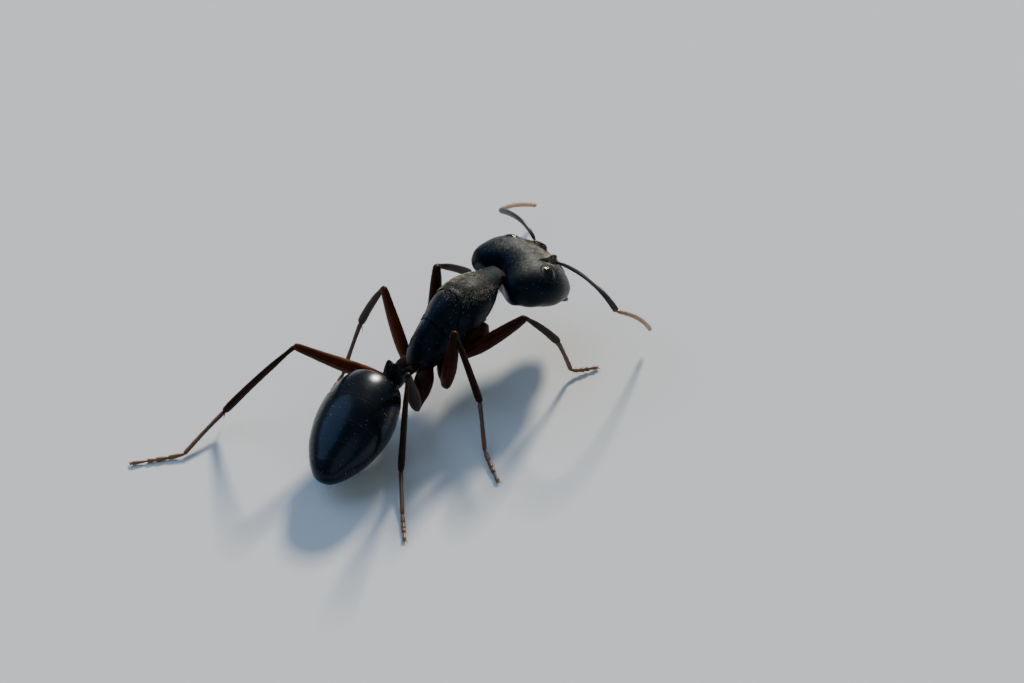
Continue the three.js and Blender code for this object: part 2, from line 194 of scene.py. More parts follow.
# The jointed whip of each feeler is paler still, a straw gold that its dense, minute fur makes softer.
whip_shell = cuticle("straw_whip_cuticle", "#20110a", "#b08448", 0.4, 0.05, 0.0012,
                     {"Specular IOR Level": 0.6})
# Soft skin at the joints: brown, smooth and a little moist-looking.
joint_skin = cuticle("soft_joint_membrane", "#190b06", "#5a2a14", 0.5, 0.03, 0.0008,
                     {"Specular IOR Level": 0.2})
# The cornea of each facet is clear chitin over black pigment, so the eye is the glossiest place.
eye_lens = cuticle("compound_eye_cornea", "#040507", "#101318", 0.12, 0.09, 0.0002,
                   {"Specular IOR Level": 0.25, "Coat Weight": 0.25, "Coat Roughness": 0.05}, patchy=0.04)


def hair_material(name, root, tip, roughness):
    """Chitin hair: solid and pale or brown, each hair a little different from its neighbours."""
    material, tree = new_material(name)
    where = add_node(tree, "ShaderNodeTexCoord").outputs["Object"]
    pick = add_node(tree, "ShaderNodeTexNoise", inputs={"Vector": where, "Scale": 6.0 / MM, "Detail": 1.0})
    spread = add_node(tree, "ShaderNodeMapRange", inputs={
        "Value": pick.outputs["Fac"], "From Min": 0.35, "From Max": 0.65})
    colour = add_node(tree, "ShaderNodeMix", {"data_type": "RGBA"},
                      {0: spread, 6: linear(root), 7: linear(tip)})
    surface = add_node(tree, "ShaderNodeBsdfPrincipled", inputs={
        "Base Color": colour.outputs[2], "Roughness": roughness, "IOR": 1.55, "Specular IOR Level": 0.3})
    add_node(tree, "ShaderNodeOutputMaterial", inputs={"Surface": surface})
    return material


# Down is near-white chitin hair; it glints against the black shell.
down_hair = hair_material("pale_down", "#665e4e", "#cdc4ae", 0.4)
# Bristles are stouter and golden-brown.
bristle_hair = hair_material("golden_bristle", "#4a3620", "#9a7c4c", 0.36)
# Hairs of the feet and shins are fox-brown to black-brown.
leg_hair = hair_material("brown_leg_hair", "#140a06", "#4a2e1a", 0.42)


# ---- Shaping ----
def unit(vectors):
    return vectors / np.maximum(np.linalg.norm(vectors, axis=-1, keepdims=True), 1e-12)


def xyz(points):
    """The three coordinates of the points, each on its own."""
    return np.moveaxis(points, -1, 0)


def folded(points):
    """The points with the right side laid over the left, for what is the same on both sides."""
    return np.concatenate([np.abs(points[..., :1]), points[..., 1:]], -1)


def frame_of(part):
    """A body part's axes, turned about the vertical and then pitched, and its place."""
    turn, pitch = math.radians(part["turn"]), math.radians(part["pitch"])
    cos, sin = math.cos(turn), math.sin(turn)
    about_z = np.array([[cos, -sin, 0], [sin, cos, 0], [0, 0, 1]])
    cos, sin = math.cos(pitch), math.sin(pitch)
    about_x = np.array([[1, 0, 0], [0, cos, -sin], [0, sin, cos]])
    return about_z @ about_x, np.array(part["place"])


def set_in(points, part):
    """Points of a part's own frame, in the ant's."""
    axes, place = frame_of(part)
    return np.array(points) @ axes.T + place


def along(rows, t):
    """The values of a table of rows at t, on a smooth curve through them."""
    table = np.array(rows, float)
    x, y = table[:, 0], table[:, 1:]
    slope = np.empty_like(y)
    slope[1:-1] = (y[2:] - y[:-2]) / (x[2:] - x[:-2])[:, None]
    slope[0], slope[-1] = (y[1] - y[0]) / (x[1] - x[0]), (y[-1] - y[-2]) / (x[-1] - x[-2])
    t = np.asarray(t, float)
    i = np.clip(np.searchsorted(x, t, side="right") - 1, 0, len(x) - 2)
    span = x[i + 1] - x[i]
    u = ((t - x[i]) / span)[..., None]
    start, end, rise = slope[i] * span[..., None], slope[i + 1] * span[..., None], y[i + 1] - y[i]
    return y[i] + u * (start + u * (3 * rise - 2 * start - end + u * (start + end - 2 * rise)))


def profile(rows, t):
    """The one value of each row at t, such as a thickness."""
    return along(rows, t)[..., 0]


def smooth(value, low, high):
    """0 below low, 1 above high, and a soft step between."""
    u = np.clip((value - low) / (high - low), 0, 1)
    return u * u * (3 - 2 * u)


def bell(value, width):
    return np.exp(-((value / width) ** 2))


def spot(points, centre, radii):
    """A soft round spot at a place, 1 in its middle."""
    return np.exp(-(((points - np.array(centre)) / np.array(radii)) ** 2).sum(-1))


def capped(t, first, last):
    """1 along a piece, and down to 0 as on a round cap over the first and the last share of it."""
    return np.sqrt(np.clip(np.minimum(t / first, (1 - t) / last), 0, 1))


def angles(around):
    return 2 * np.pi * np.arange(around) / around


def squared(wave, power):
    """A sine or cosine, squared off where the power is over 2, so that an oval gets flatter sides."""
    return np.sign(wave) * np.abs(wave) ** (2 / power)


def oval(half, top, under, angle, power):
    """How far out and how high the points of an oval section are."""
    middle, tall = (top + under) / 2, (top - under) / 2
    return half * squared(np.cos(angle), power), middle + tall * squared(np.sin(angle), power)


def surface_normals(points):
    """Outward normals of a grid of rings that closes round in its second direction."""
    down = np.gradient(points, axis=0)
    round_ = (np.roll(points, -1, axis=1) - np.roll(points, 1, axis=1)) / 2
    normals = unit(np.cross(round_, down))
    outward = (normals[1:-1] * (points[1:-1] - points[1:-1].mean(1, keepdims=True))).sum()
    return normals if outward > 0 else -normals


def raised(points, height):
    """The grid, moved along its normals by a height at each point, and still closed at its ends."""
    moved = points + surface_normals(points) * height[..., None]
    moved[0], moved[-1] = points[0], points[-1]
    return moved


def tube(path, deep, wide, across, around=28, power=2.0):
    """Rings along a path with an oval section: `wide` to both sides along `across`, `deep` at right
    angles to it."""
    ahead = unit(np.gradient(path, axis=0))
    side = unit(across - (ahead * across).sum(-1, keepdims=True) * ahead)
    over = np.cross(ahead, side)
    cos, sin = (squared(wave(angles(around)), power) for wave in (np.cos, np.sin))
    return (path[:, None] + over[:, None] * (deep[:, None] * cos)[..., None]
            + side[:, None] * (wide[:, None] * sin)[..., None])


def flat_list(grid):
    """A value for each point of a skin: the first and last rings each give one, their mean."""
    return np.concatenate([grid[:1].mean(1), grid[1:-1].reshape(-1, *grid.shape[2:]), grid[-1:].mean(1)])


def skin(points, tone=0.0, matt=0.0):
    """A closed skin from rings of points, the first and last drawn together to a point: its faces, an
    unwrap of its own shape, the way that hairs lie on it, and how warm and how dull it is."""
    rings, around = points.shape[:2]
    tone, matt = (np.broadcast_to(np.asarray(v, float), (rings, around)) for v in (tone, matt))
    k = np.arange(around)
    after = (k + 1) % around
    ring = 1 + np.arange(rings - 3)[:, None] * around
    a, b = ring + k, ring + after
    last = (rings - 2) * around + 1
    first_fan = np.stack([np.zeros_like(k), 1 + after, 1 + k], -1)
    last_fan = np.stack([np.full_like(k, last), last - around + k, last - around + after], -1)

    def corners(*places):
        return np.stack([np.stack(np.broadcast_arrays(*place), -1) for place in places], -2)

    u, v, step = k / around, np.arange(rings) / (rings - 1), 1 / around
    low, high = v[1:-2, None], v[2:-1, None]
    made = {
        "grid": points,
        "points": flat_list(points),
        "lie": flat_list(unit(np.gradient(points, axis=0))),
        "tone": flat_list(tone),
        "matt": flat_list(matt),
        "cover": np.ones((rings - 2) * around + 2),
        "quads": np.stack([a, b, b + around, a + around], -1).reshape(-1, 4),
        "tris": np.concatenate([first_fan, last_fan]),
        "quad_map": corners((u, low), (u + step, low), (u + step, high), (u, high)).reshape(-1, 4, 2),
        "tri_map": np.concatenate([corners((u + step / 2, v[0]), (u + step, v[1]), (u, v[1])),
                                   corners((u + step / 2, v[-1]), (u, v[-2]), (u + step, v[-2]))]),
    }
    one, two, three, four = (made["points"][made["quads"][:, i]] for i in range(4))
    if (one * (np.cross(two, three) + np.cross(three, four))).sum() < 0:
        # The rings ran the other way round, so the faces are turned outwards.
        for key in ("quads", "tris", "quad_map", "tri_map"):
            made[key] = made[key][:, ::-1]
    return made


def joined(skins):
    """Several skins as one, with their unwraps side by side."""
    columns = math.ceil(math.sqrt(len(skins)))
    lists = {key: [] for key in skins[0] if key != "grid"}
    offset = 0
    for i, s in enumerate(skins):
        corner = np.array([i % columns, i // columns])
        placed = {**s, "quads": s["quads"] + offset, "tris": s["tris"] + offset}
        for key in ("quad_map", "tri_map"):
            placed[key] = (s[key] * 0.96 + 0.02 + corner) / columns
        for key, kept in lists.items():
            kept.append(placed[key])
        offset += len(s["points"])
    return {key: np.concatenate(kept) for key, kept in lists.items()}


def to_mesh(name, s):
    mesh = bpy.data.meshes.new(name)
    points = (s["points"] + CENTRE) * MM
    mesh.from_pydata(points.tolist(), [], s["quads"].tolist() + s["tris"].tolist())
    mesh.shade_smooth()
    for key in ("tone", "matt"):
        kept = mesh.attributes.new(key, "FLOAT", "POINT")
        kept.data.foreach_set("value", s[key].astype(np.float32))
    mesh.update()
    return mesh


def show(name, mesh, nodes):
    """A finished piece that stands for its CAD nodes and rides on the ant's one body."""
    piece = bpy.data.objects.new(name, mesh)
    bpy.context.scene.collection.objects.link(piece)
    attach(piece, "root")
    if nodes:
        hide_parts(*nodes)


def shell(name, skins, material, nodes):
    """A hard piece of one or more closed skins."""
    mesh = to_mesh(name, joined(skins))
    mesh.materials.append(material)
    show(name, mesh, nodes)


# ---- Hairs: one tree of nodes sows them on a skin, lays them along it and makes them solid ----
HAIR_PATCH = 0.003  # how much of the map's width one hair takes


def hair_tree():
    tree = bpy.data.node_groups.new("sow_hairs", "GeometryNodeTree")
    for name, kind in (("Skin", "Geometry"), ("Hairs per square mm", "Float"), ("Length mm", "Float"),
                       ("Shortest share", "Float"), ("Radius mm", "Float"), ("Lean", "Float"),
                       ("Stray", "Float"), ("Rings", "Int"), ("Seed", "Int"), ("Material", "Material")):
        tree.interface.new_socket(name, in_out="INPUT", socket_type="NodeSocket" + kind)
    tree.interface.new_socket("Hairs", in_out="OUTPUT", socket_type="NodeSocketGeometry")
    given = add_node(tree, "NodeGroupInput").outputs
    lie, root, patch = (add_node(tree, "GeometryNodeInputNamedAttribute", {"data_type": "FLOAT_VECTOR"},
                                 {"Name": name}) for name in ("lie", "root", "patch"))
    cover = add_node(tree, "GeometryNodeInputNamedAttribute", {"data_type": "FLOAT"}, {"Name": "cover"})

    # Roots, sown at random as densely as the skin's cover says.
    per_area = add_node(tree, "ShaderNodeMath", {"operation": "MULTIPLY"},
                        {0: given["Hairs per square mm"], 1: 1 / MM ** 2})
    density = add_node(tree, "ShaderNodeMath", {"operation": "MULTIPLY"}, {0: per_area, 1: cover})
    sown = add_node(tree, "GeometryNodeDistributePointsOnFaces", inputs={
        "Mesh": given["Skin"], "Density": density, "Seed": given["Seed"]})

    # Each hair leans up from the way that hairs lie there, and strays from it a little.
    stray = add_node(tree, "FunctionNodeRandomValue", {"data_type": "FLOAT_VECTOR"},
                     {0: (-1, -1, -1), 1: (1, 1, 1), "Seed": given["Seed"]})
    level, steep = (add_node(tree, "ShaderNodeMath", {"operation": wave}, {0: given["Lean"]})
                    for wave in ("COSINE", "SINE"))
    way = (0, 0, 0)
    for direction, amount in ((lie, level), (sown.outputs["Normal"], steep), (stray, given["Stray"])):
        way = add_node(tree, "ShaderNodeVectorMath", {"operation": "MULTIPLY_ADD"},
                       {0: direction, 1: amount, 2: way})
    aim = add_node(tree, "FunctionNodeAxesToRotation", {"primary_axis": "Z", "secondary_axis": "X"},
                   {"Primary Axis": way, "Secondary Axis": sown.outputs["Normal"]})
    share = add_node(tree, "FunctionNodeRandomValue", {"data_type": "FLOAT"},
                     {2: given["Shortest share"], "Seed": given["Seed"]})
    longest, radius = (add_node(tree, "ShaderNodeMath", {"operation": "MULTIPLY"},
                                {0: given[name], 1: MM}) for name in ("Length mm", "Radius mm"))
    length = add_node(tree, "ShaderNodeMath", {"operation": "MULTIPLY"}, {0: longest, 1: share.outputs[1]})
    size = add_node(tree, "ShaderNodeCombineXYZ", inputs={"X": radius, "Y": radius, "Z": length})

    # One hair: a thin three-sided cone. Its `patch` says where each of its points is on its bit of map.
    cone = add_node(tree, "GeometryNodeMeshCone", {"fill_type": "NGON"},
                    {"Vertices": 3, "Side Segments": given["Rings"], "Fill Segments": 1,
                     "Radius Top": 0.12, "Radius Bottom": 1.0, "Depth": 1.0})
    position = add_node(tree, "GeometryNodeInputPosition")
    apart = add_node(tree, "ShaderNodeSeparateXYZ", inputs={0: position})
    half_x = add_node(tree, "ShaderNodeMath", {"operation": "MULTIPLY"}, {0: apart.outputs["X"], 1: 0.5})
    on_map = add_node(tree, "ShaderNodeCombineXYZ", inputs={"X": half_x, "Y": apart.outputs["Z"]})
    hair = add_node(tree, "GeometryNodeStoreNamedAttribute",
                    {"data_type": "FLOAT_VECTOR", "domain": "POINT"},
                    {"Name": "patch", "Geometry": cone.outputs["Mesh"], "Value": on_map})

    # Each hair has a small patch of the map, at its root's place on the skin's own unwrap.
    stood = add_node(tree, "GeometryNodeInstanceOnPoints", inputs={
        "Points": sown.outputs["Points"], "Instance": hair, "Rotation": aim, "Scale": size})
    solid = add_node(tree, "GeometryNodeRealizeInstances", inputs={"Geometry": stood})
    unwrap = add_node(tree, "ShaderNodeVectorMath", {"operation": "MULTIPLY_ADD"},
                      {0: patch, 1: (HAIR_PATCH,) * 3, 2: root})
    mapped = add_node(tree, "GeometryNodeStoreNamedAttribute", {"data_type": "FLOAT2", "domain": "CORNER"},
                      {"Name": "OFBake", "Geometry": solid, "Value": unwrap})
    finished = add_node(tree, "GeometryNodeSetMaterial", inputs={
        "Geometry": mapped, "Material": given["Material"]})
    add_node(tree, "NodeGroupOutput", inputs={"Hairs": finished})
    return tree


SOW = hair_tree()


def coat(name, skins, material, slot_name, per_mm2, seed, length, radius, lean, stray=0.25,
         shortest=0.6, rings=2):
    """Hairs on one or more skins, each of which says by `cover` where they grow. Length and radius are in
    mm and the lean is in degrees."""
    whole = joined(skins)
    base = to_mesh(name + "_roots", whole)
    lie = base.attributes.new("lie", "FLOAT_VECTOR", "POINT")
    lie.data.foreach_set("vector", whole["lie"].astype(np.float32).ravel())
    cover = base.attributes.new("cover", "FLOAT", "POINT")
    cover.data.foreach_set("value", whole["cover"].astype(np.float32))
    root = base.uv_layers.new(name="root")
    unwrap = np.concatenate([whole["quad_map"].ravel(), whole["tri_map"].ravel()])
    root.data.foreach_set("uv", unwrap.astype(np.float32))
    sower = bpy.data.objects.new(name + "_sower", base)
    bpy.context.scene.collection.objects.link(sower)
    modifier = sower.modifiers.new("hairs", "NODES")
    modifier.node_group = SOW
    wanted = {"Hairs per square mm": per_mm2, "Length mm": length, "Shortest share": shortest,
              "Radius mm": radius, "Lean": math.radians(lean), "Stray": stray, "Rings": rings,
              "Seed": seed, "Material": material}
    for item in SOW.interface.items_tree:
        if item.name in wanted:
            modifier[item.identifier] = wanted[item.name]
    graph = bpy.context.evaluated_depsgraph_get()
    mesh = bpy.data.meshes.new_from_object(sower.evaluated_get(graph), depsgraph=graph)
    mesh.name = name
    bpy.data.objects.remove(sower)
    for spare in ("lie", "cover", "root", "patch", "tone", "matt"):
        if spare in mesh.attributes:
            mesh.attributes.remove(mesh.attributes[spare])
    mesh.shade_smooth()
    show(name, mesh, ())


def covered(s, cover):
    """The same skin, with its own cover of hair."""
    return {**s, "cover": np.clip(flat_list(np.broadcast_to(cover, s["grid"].shape[:2])), 0, None)}


# ---- Head ----
def head_points(rings, around):
    """Rings of the head in its own frame: x to its left, y back, z out of its face."""
    t = (1 - np.cos(np.pi * np.arange(rings + 1) / rings))[:, None] / 2
    half, top, under = xyz(along(HEAD_ROWS, t))
    edge = np.minimum(np.minimum(t / 0.07, (1 - t) / 0.14), 1)
    rounding = np.sqrt(np.clip(1 - (1 - edge) ** 2, 0, 1))
    middle, tall = (top + under) / 2, (top - under) / 2 * rounding
    # More of the grid's lines run over the face than under it, and the throat side is squarer behind.
    angle = angles(around)
    angle = angle + 0.4 * np.cos(angle)
    square = 2.35 + 2.6 * np.clip(1 - t / 0.45, 0, 1) * (np.sin(angle) < 0)
    x, z = oval(half * rounding, middle + tall, middle - tall, angle, square)
    notch = NOTCH * np.clip(1 - t / 0.5, 0, 1) ** 2 * bell(x, 0.62 + 0.35 * smooth(-z, 0.9, 1.4))
    y = HEAD["front"] + HEAD["length"] * (1 - t) + 0 * x - notch
    return np.stack([x, y, z], -1)


def carina_line(y):
    """How far from the middle the ridge beside a feeler's socket runs: it swings out towards the back."""
    return 0.33 + 0.3 * smooth(y, -0.35, 0.5) - 0.05 * smooth(y, 0.5, 1.0)


def head_relief(p):
    """How far each point of the head stands up, in mm."""
    x, y, z = xyz(p)
    out = np.abs(x)
    plan = np.stack([out, y], -1)
    face = smooth(z, -0.75, -0.45)
    # The ridges rise as thin lobes over the feelers' sockets, steeper on their outer side.
    off = out - carina_line(y)
    ridge = np.where(off > 0, bell(off, 0.05), bell(off, 0.11))
    rise = smooth(y, -0.5, -0.22) * (0.19 - 0.10 * smooth(y, 0.0, 0.35) - 0.09 * smooth(y, 0.35, 0.85))
    height = face * rise * ridge
    height -= 0.09 * face * spot(plan, (0.62, -0.05), (0.15, 0.24))
    height -= 0.05 * face * spot(plan, (0.72, 0.25), (0.12, 0.3))
    # The clypeus: a low plate over the jaws with a keel down its middle, bounded by fine grooves.
    half = 0.5 + 0.2 * smooth(-y, 0.45, 1.1)
    inside = 1 - smooth(out - half, -0.03, 0.03)
    height += face * 0.04 * inside * smooth(-y, 0.36, 0.46)
    height -= face * 0.035 * bell(out - half, 0.028) * smooth(-y, 0.42, 0.5)
    rear_groove = bell(y + 0.4 + 0.1 * bell(x, 0.2), 0.028)
    height -= face * 0.035 * rear_groove * (1 - smooth(out, half - 0.05, half + 0.05))
    height += face * 0.06 * bell(x, 0.05) * smooth(-y, 0.45, 0.65)
    # A fine furrow runs back from between the feelers.
    height -= face * 0.02 * bell(x, 0.022) * smooth(y, -0.3, -0.15) * (1 - smooth(y, 0.5, 0.9))
    # Each eye sits in a faint rim, and a groove runs down the middle of the throat.
    from_eye = np.linalg.norm((plan - [1.24, 0.575]) / [0.31, 0.3], axis=-1)
    height -= 0.012 * bell(from_eye - 1, 0.1) * face
    throat = smooth(-z, 1.3, 1.5) * smooth(y, -0.6, -0.3) * (1 - smooth(y, 1.2, 1.6))
    height -= 0.03 * bell(x, 0.04) * throat
    return height


def eye_dome(sign):
    """The eye: a low dome of facets in a close hexagonal pattern."""
    radial, turn = np.linspace(0, np.pi, 90)[:, None], angles(150)
    size = np.array(EYE["radius"])
    ball = np.stack([np.sin(radial) * np.cos(turn), np.sin(radial) * np.sin(turn),
                     np.cos(radial) + 0 * turn], -1)
    u, v = ball[..., 0] * size[0], ball[..., 1] * size[1]
    wave = 2 * np.pi / (EYE["facet"] * 0.866)
    hexes = sum(np.cos(wave * (u * math.cos(k) + v * math.sin(k))) for k in 2 * np.pi / 3 * np.arange(3))
    ball = ball * size * (1 + 0.008 * hexes * smooth(ball[..., 2], 0.05, 0.4))[..., None]
    cos, sin = math.cos(math.radians(EYE["tilt"])), math.sin(math.radians(EYE["tilt"]))
    dome = ball @ np.array([[cos, 0, sin], [0, 1, 0], [-sin, 0, cos]]).T + EYE["place"]
    return skin(set_in(dome * [sign, 1, 1], HEAD))


def jaw_blade(sign):
    """The jaw: a stout blade that sweeps in below the mouth. The toothed edges meet at the middle, the
    left jaw's over the right one's."""
    t = np.linspace(0, 1, 110)
    outer = along([(0, 0.98, -0.66, -1.24), (0.25, 0.97, -0.98, -1.34), (0.5, 0.82, -1.28, -1.44),
                   (0.75, 0.52, -1.52, -1.54), (1, 0.02, -1.70, -1.62)], t)
    inner = along([(0, 0.56, -0.70, -1.36), (0.2, 0.50, -0.86, -1.40), (0.4, 0.20, -1.00, -1.42),
                   (0.5, -0.06, -1.08, -1.44), (0.75, -0.11, -1.38, -1.54), (1, -0.09, -1.68, -1.63)], t)
    teeth = np.abs(((t * 11) % 1) - 0.5) * 2
    toothed = smooth(t, 0.42, 0.5) * (1 - smooth(t, 0.95, 1))
    inner += unit(outer - inner) * (0.07 * teeth * toothed)[:, None]
    turn = angles(40)
    ends = capped(t, 0.05, 0.03)[:, None]
    thick = profile([(0, 0.19), (0.25, 0.20), (0.5, 0.15), (0.8, 0.09), (1, 0.05)], t)[:, None] * ends
    middle, reach = (outer + inner) / 2, (outer - inner) / 2
    thinner_inside = 0.62 + 0.38 * np.cos(turn)
    over = 0.02 * sign * smooth(t, 0.3, 0.5)[:, None]
    facing = np.array([0.0, -0.35, 0.94])
    blade = (middle[:, None] + reach[:, None] * (np.cos(turn) * ends)[..., None]
             + facing * (np.sin(turn) * thinner_inside * thick + over)[..., None])
    return skin(set_in(blade * [sign, 1, 1], HEAD), 0.2 + 0.35 * (1 - np.cos(turn)) / 2)


def palp(sign):
    """A short palp of thin segments, which hangs beside the jaw's base."""
    t = np.linspace(0, 1, 60)
    path = along([(0, 0.4, -0.42, -1.48), (0.4, 0.46, -0.76, -1.66), (0.75, 0.38, -1.02, -1.7),
                  (1, 0.3, -1.18, -1.7)], t) * [sign, 1, 1]
    joints = 1 - 0.28 * bell(np.abs((t * 4) % 1 - 0.5) - 0.5, 0.08)
    slim = 0.05 * joints * (1 - 0.35 * t) * capped(t, 0.03, 0.03)
    return skin(set_in(tube(path, slim, slim, np.array([1.0, 0.0, 0.3]), 14), HEAD), 0.45)


def upper_lip():
    """The upper lip closes the mouth between the clypeus and the jaws."""
    t = np.linspace(0, 1, 40)
    half = 0.66 * np.sqrt(np.clip(1 - (2 * t - 1) ** 2, 0, 1))
    thick = 0.13 * np.sqrt(np.clip(1 - (2 * t - 1) ** 4, 0, 1))
    path = along([(0, 0, -0.9, -1.1), (0.5, 0, -1.08, -1.22), (1, 0, -1.2, -1.42)], t)
    return skin(set_in(tube(path, thick, half, np.array([1.0, 0.0, 0.0]), 36, 2.4), HEAD), 0.25)


capsule = head_points(230, 280)
capsule = raised(capsule, head_relief(capsule))
x, y, z = xyz(capsule)
face_down = bell(x, 1.0) * smooth(z, -0.4, 0.02) * (0.75 + 0.5 * smooth(-y, -1.2, 0.0))
head_tone = 0.45 * smooth(-y, 0.85, 1.15) * smooth(-z, 0.4, 0.8)
head_skin = skin(set_in(capsule, HEAD), head_tone, 0.6 * face_down)
shell("head_capsule", [head_skin], body_shell, ["head"])
for side, sign in (("left", 1), ("right", -1)):
    shell(f"compound_eye_{side}", [eye_dome(sign)], eye_lens, [f"eye_{side}"])
    shell(f"jaw_{side}", [jaw_blade(sign)], body_shell, [f"mandible_{side}"])
    shell(f"palp_{side}", [palp(sign)], tip_shell, [])
shell("upper_lip", [upper_lip()], body_shell, [])


# ---- Trunk: three plates that overlap a little, so that no gap shows ----
def body_surface(rows, length, front, power, shape=None):
    """A part's surface, by how far along and the angle round, the axis it goes round, and its extent."""
    def surface(s, angle):
        half, top, under = xyz(along(rows, s))
        x, z = oval(half, top, under, angle, power)
        if shape:
            x = shape(x, s, np.sin(angle))
        return np.stack([x, front + length * s, z], -1)

    def axis(s):
        _, top, under = xyz(along(rows, s))
        return np.stack([0 * s, front + length * s, (top + under) / 2], -1)
    return surface, axis, front, length


def plate_points(body, front_cut, rear_cut, rings, around, tuck=0.0, lip=0.0, overlap=0.08):
    """A plate of a body surface between two edges, with rolled rims. An edge is a table of level and how
    far back. The plate's front lies `tuck` mm under the plate before it, and its rear edge stands `lip`
    mm proud."""
    surface, axis, front, length = body
    angle = angles(around)[None, :]

    def edge_at(cut, end):
        s = np.full((1, around), float(end))
        if cut is None:
            return s
        levels, places = np.array(cut).T
        s = np.full((1, around), (places.mean() - front) / length)
        for _ in range(30):
            s = 0.5 * s + 0.5 * (np.interp(surface(s, angle)[..., 2], levels, places) - front) / length
        for _ in range(6):
            s = (np.roll(s, 1) + 2 * s + np.roll(s, -1)) / 4
        return s

    first, last = edge_at(front_cut, 0), edge_at(rear_cut, 1)
    if front_cut is not None:
        first = first - overlap / length
    # The rings go out over the front rim, along the plate, closer near its edges, and in over the rear.
    ease = np.linspace(0, 1, rings)
    run = 0.5 * (1 - np.cos(np.pi * ease)) * 0.55 + ease * 0.45
    run = np.concatenate([np.zeros(8), run, np.ones(8)])
    roll = np.linspace(0.35, 0.97, 7)
    size = np.concatenate([[0], roll, np.ones(rings), roll[::-1], [0]])
    s = first + (last - first) * run[:, None]
    centre, rim = axis(s), surface(s, angle)
    reach = np.linalg.norm(rim - centre, axis=-1)
    near_front = 1 - smooth((s - first) * length, 0.0, 2.2 * max(overlap, 0.02))
    near_rear = smooth((s - last) * length, -0.2, -0.01)
    change = (lip * near_rear - tuck * near_front) / np.maximum(reach, 0.05)
    return centre + (rim - centre) * (size[:, None] * (1 + change))[..., None]


def ridged(x, s, sin):
    """Towards the rear the back of the trunk narrows to a ridge."""
    return x * (1 - WAIST * smooth(s, 0.35, 0.8) * np.clip(sin, 0, None) ** 2)


def saddle(y, z):
    """The shallow dip across the back, where mesothorax and propodeum meet."""
    return 0.03 * bell(y - 0.74, 0.28) * smooth(z, 0.5, 1.1)


trunk_body = body_surface(TRUNK_ROWS, TRUNK["length"], TRUNK["front"], 2.15, ridged)

# Pronotum: a domed shield. Its side lobes end in a thin rim above the bases of the front legs.
shield = plate_points(trunk_body, None, SHIELD_EDGE, rings=120, around=200, lip=0.026)
x, y, z = xyz(shield)
margin = 0.06 + 0.12 * smooth(-y, 0.7, 1.4) + 0.2 * smooth(-y, 1.4, 2.2)
below = smooth(margin - z, -0.03, 0.06)
height = -0.16 * below + 0.02 * bell(z - margin - 0.05, 0.05)
# Ahead of a low step the collar is smooth; it goes under the back of the head.
height -= 0.02 * smooth(-y, 1.6, 1.9) * (1 - smooth(-y, 2.1, 2.4)) * smooth(z, 0.0, 0.3)
shield = raised(shield, height * smooth(y, -2.45, -2.3))
pronotum_skin = skin(set_in(shield, TRUNK), 0.35 * below, smooth(-y, 1.0, 1.8) * smooth(z, -0.1, 0.3))
shell("pronotum_shield", [pronotum_skin], body_shell, ["pronotum"])

# Mesothorax: a flat-sided block with an oblique groove down each side and the first air hole.
block = plate_points(trunk_body, SHIELD_EDGE, GROOVE, rings=110, around=190, tuck=0.055, lip=0.014)
x, y, z = xyz(folded(block))
sides = smooth(x, 0.35, 0.6)
height = -0.045 * sides * bell(z - 0.3 + 0.9 * (y - 0.35), 0.05) * (1 - smooth(z, 0.55, 0.8))
height -= 0.03 * sides * bell(z - 0.72 - 0.1 * y, 0.035) * smooth(y, 0.25, 0.4)
height -= 0.14 * smooth(0.25 - z, 0.0, 0.2) * smooth(0.35 - y, 0.0, 0.25)
height += 0.05 * spot(folded(block), (0.46, 0.68, 0.93), (0.12, 0.09, 0.1))
height -= 0.08 * spot(folded(block), (0.47, 0.69, 0.94), (0.05, 0.03, 0.05))
block = raised(block, height - saddle(y, z))
mesothorax_skin = skin(set_in(block, TRUNK), 0.25 * smooth(-z, 0.2, 0.6))
shell("mesothorax_block", [mesothorax_skin], body_shell, ["mesothorax"])

# Propodeum: narrow-backed and steep behind, with a slit-like air hole on each side.
rump = plate_points(trunk_body, GROOVE, None, rings=110, around=180, tuck=0.045)
x, y, z = xyz(folded(rump))
height = 0.035 * spot(folded(rump), (0.52, 1.42, 0.3), (0.14, 0.09, 0.17))
height -= 0.08 * spot(folded(rump), (0.53, 1.42, 0.3), (0.1, 0.025, 0.1))
height += 0.05 * spot(folded(rump), (0.5, 1.7, -0.3), (0.3, 0.3, 0.14))
height -= 0.035 * smooth(x, 0.3, 0.5) * bell(z + 0.05 - 0.3 * (y - 1.3), 0.045)
rump = raised(rump, height - saddle(y, z))
propodeum_skin = skin(set_in(rump, TRUNK), 0.3 * smooth(y, 1.85, 2.1) + 0.25 * smooth(-z, 0.2, 0.5))
shell("propodeum_block", [propodeum_skin], body_shell, ["propodeum"])

# ---- Waist and gaster ----
scale_body = body_surface(PETIOLE_ROWS, PETIOLE["length"], -PETIOLE["length"] / 2, 2.1)
leaf = plate_points(scale_body, None, None, rings=130, around=120)
x, y, z = xyz(leaf)
crest = smooth(z, 0.45, 0.95)
peaks = 0.05 * bell(np.abs(x) - 0.2, 0.09) - 0.1 * bell(x, 0.1)
leaf = np.stack([x, y + 0.02 * crest, z + crest * peaks], -1)
petiole_skin = skin(set_in(leaf, PETIOLE), 0.1 + 0.4 * (1 - smooth(leaf[..., 2], -0.2, 0.1)))
shell("petiole_scale", [petiole_skin], body_shell, ["petiole"])

